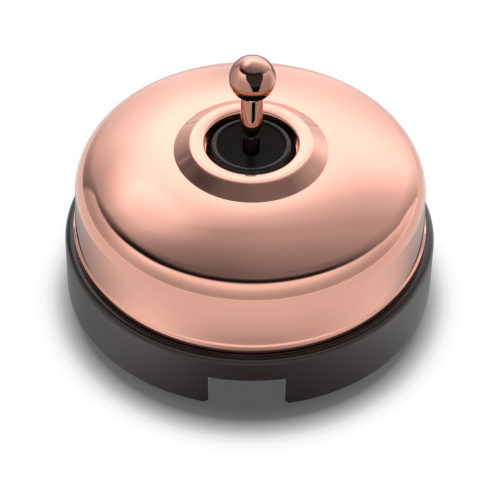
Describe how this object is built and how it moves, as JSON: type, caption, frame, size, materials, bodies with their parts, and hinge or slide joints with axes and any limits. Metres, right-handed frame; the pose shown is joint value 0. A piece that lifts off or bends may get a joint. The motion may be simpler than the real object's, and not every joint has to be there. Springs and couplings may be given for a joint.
{
  "type": "surface-mounted toggle light switch",
  "caption": "Round surface-mounted toggle switch: dark moulded base with a cable notch, polished domed copper cover and a ball-ended lever that rocks a change-over contact.",
  "frame": {"origin": "centre of the round base's underside, on the wall", "axes": "+Z points out of the wall towards the lever, -Y is the side with the cable notch, the lever swings in the YZ plane about +X"},
  "size_m": [0.08, 0.08, 0.0568],
  "materials": {
    "bakelite": "moulded phenolic, dark brown-black, satin",
    "copper": "polished rose-copper plating, mirror gloss",
    "gloss_black": "polished black phenolic",
    "fibre": "pale insulating board",
    "steel": "zinc-plated steel",
    "brass": "plain machined brass",
    "silver": "silver contact tips",
    "ivory": "moulded ivory thermoset",
    "nylon": "natural nylon"
  },
  "bodies": {
    "housing": {"base": "bakelite", "cover": "copper", "cover_liner": "fibre", "retaining_ring": "gloss_black", "slot_plate": "gloss_black", "neck_bush": "brass", "bridge": "steel", "lever_pin": "steel", "mechanism_tray": "ivory", "mechanism_lid": "ivory", "lid_screws": "steel", "mechanism_screws": "steel", "rocker_support": "brass", "contact_strip_front": "brass", "contact_strip_back": "brass", "fixed_tips": "silver", "terminal_common": "brass", "terminal_front": "brass", "terminal_back": "brass", "terminal_screws": "steel", "earth_terminal": "brass", "earth_screw": "steel", "earth_leaf": "brass"},
    "lever": {"lever_knob": "copper", "lever_stud": "steel", "lever_carrier": "gloss_black", "lever_spring": "steel"},
    "plunger": {"plunger": "nylon"},
    "rocker": {"rocker": "brass", "moving_tips": "silver"}
  },
  "joints": [
    {"name": "lever_toggle", "type": "hinge", "parent": "housing", "child": "lever", "pos_m": [0, 0, 0.031], "axis": [1, 0, 0], "range_deg": [0, 24]},
    {"name": "rocker_tilt", "type": "hinge", "parent": "housing", "child": "rocker", "pos_m": [0, 0, 0.0172], "axis": [1, 0, 0], "range_deg": [-16, 0]},
    {"name": "plunger_slide", "type": "slide", "parent": "lever", "child": "plunger", "axis": [0, -0.2079, -0.9781], "range_m": [0, 0.0007], "stiffness_N_per_m": 600, "deforming": ["lever_spring"]}
  ],
  "couplings": [
    {"joint": "rocker_tilt", "follows": "lever_toggle", "ratio": -0.6666}
  ]
}
